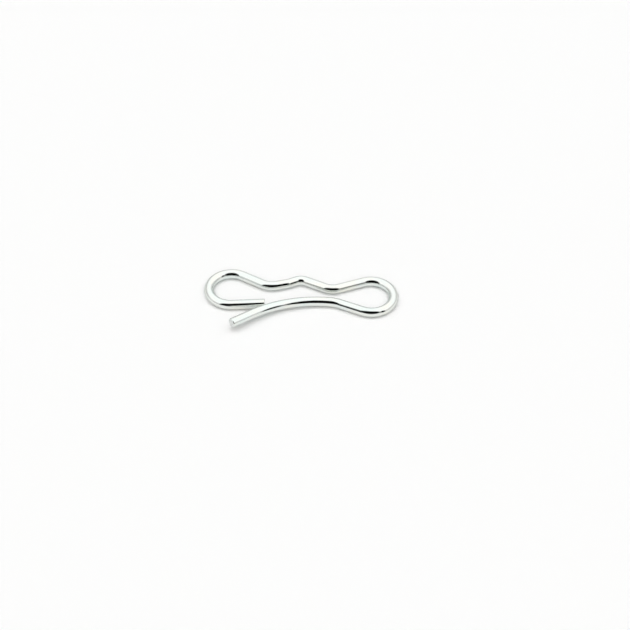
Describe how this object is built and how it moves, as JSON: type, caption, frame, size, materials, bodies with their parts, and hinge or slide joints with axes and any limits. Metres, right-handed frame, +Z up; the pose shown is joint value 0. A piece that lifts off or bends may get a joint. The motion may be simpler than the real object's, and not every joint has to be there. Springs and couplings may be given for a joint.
{
  "type": "hitch r clip pin",
  "caption": "Bright plated spring wire hitch clip with a looped end on each side, a waved leg that hugs a shaft and a bowed leg that goes through its cross hole.",
  "frame": {"origin": "middle of the clip's outline seen from above, on the surface that the clip lies on", "axes": "+X along the clip from the latch loop to the spring loop, +Y from the through leg to the waved leg, +Z up, along the shaft that the clip locks"},
  "size_m": [0.0402, 0.0174, 0.0032],
  "materials": {
    "zinc_wire": "bright zinc plating on spring steel wire"
  },
  "bodies": {
    "root": {"clip_wire": "zinc_wire"}
  },
  "joints": []
}
